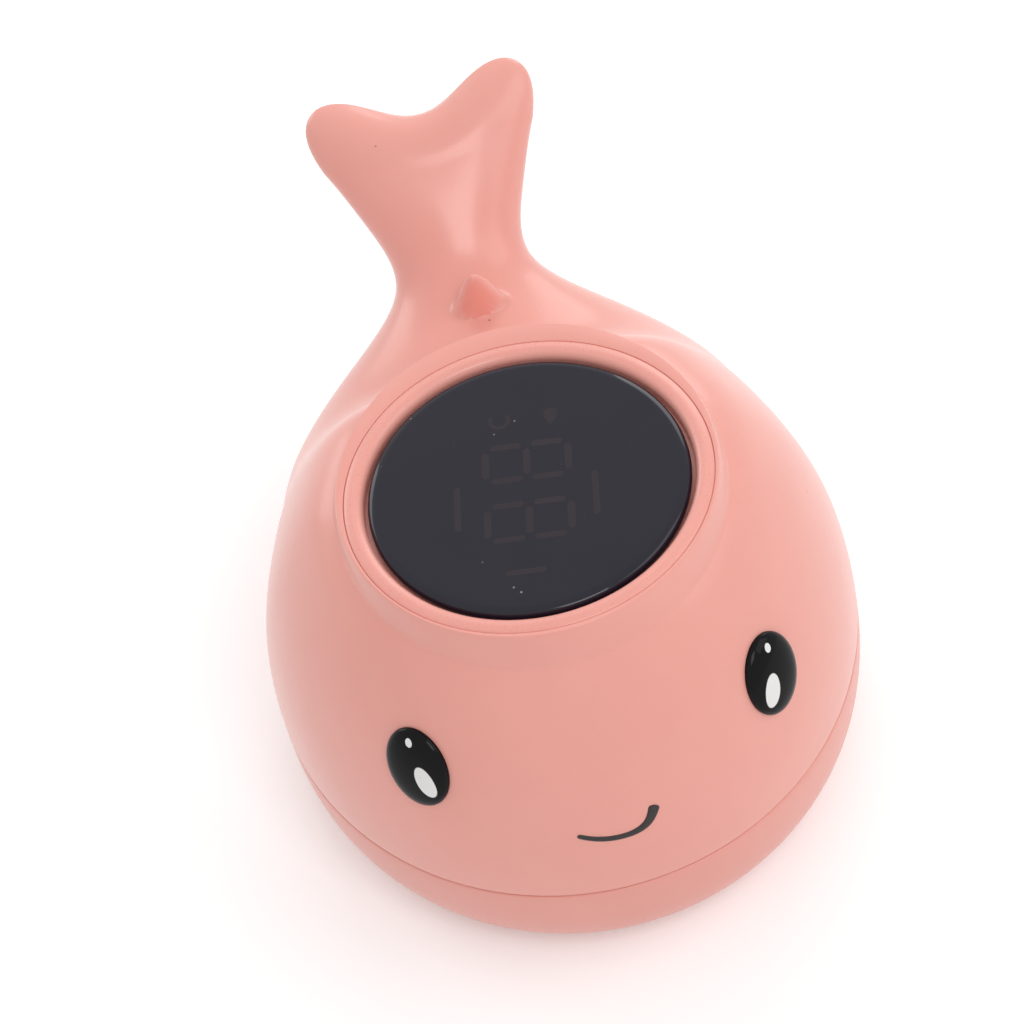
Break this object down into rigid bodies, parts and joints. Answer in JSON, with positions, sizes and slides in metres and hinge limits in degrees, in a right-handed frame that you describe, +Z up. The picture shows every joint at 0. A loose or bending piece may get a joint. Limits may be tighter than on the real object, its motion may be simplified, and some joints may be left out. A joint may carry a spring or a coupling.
{
  "type": "baby bath temperature float",
  "caption": "Whale-shaped floating bath temperature gauge with a round dark display on its back, a raised tail, domed eyes and a flat base that it stands on.",
  "frame": {"origin": "centre of the bounding box, on the plane of the flat base", "axes": "+Z up, the face looks toward -Y, the tail rises toward +Y, +X to the whale's left"},
  "size_m": [0.072, 0.0982, 0.0558],
  "materials": {
    "pink_shell": "satin",
    "pink_base": "satin",
    "pink_bezel": "satin",
    "smoked_window": "polished, smoked",
    "black_mask": "matte",
    "milky_guide": "milky",
    "green_board": "lacquered laminate",
    "chip_black": "matte",
    "probe_steel": "polished",
    "screw_zinc": "plated",
    "contact_nickel": "plated",
    "cell_steel": "bright",
    "seal_rubber": "matte",
    "eye_black": "domed, glossy",
    "smile_black": "satin",
    "lead_red": "smooth",
    "lead_black": "smooth",
    "lead_white": "smooth"
  },
  "bodies": {
    "root": {"upper_shell": "pink_shell", "lower_shell": "pink_base", "battery_cover": "pink_base", "display_bezel": "pink_bezel", "display_window": "smoked_window", "display_mask": "black_mask", "segment_guide": "milky_guide", "display_board": "green_board", "main_board": "green_board", "board_header": "chip_black", "main_chip": "chip_black", "probe_bead": "chip_black", "probe_cap": "probe_steel", "water_pin_left": "probe_steel", "water_pin_right": "probe_steel", "tilt_switch": "probe_steel", "board_screw_1": "screw_zinc", "board_screw_2": "screw_zinc", "board_screw_3": "screw_zinc", "cover_screw_left": "screw_zinc", "cover_screw_right": "screw_zinc", "probe_nut": "screw_zinc", "plus_contact": "contact_nickel", "minus_contact": "contact_nickel", "coin_cell": "cell_steel", "cover_seal": "seal_rubber", "joint_seal": "seal_rubber", "probe_seal": "seal_rubber", "eye_left": "eye_black", "eye_right": "eye_black", "smile": "smile_black", "battery_lead_plus": "lead_red", "battery_lead_minus": "lead_black", "water_lead_left": "lead_black", "water_lead_right": "lead_black", "probe_lead_left": "lead_white", "probe_lead_right": "lead_white"}
  },
  "joints": []
}
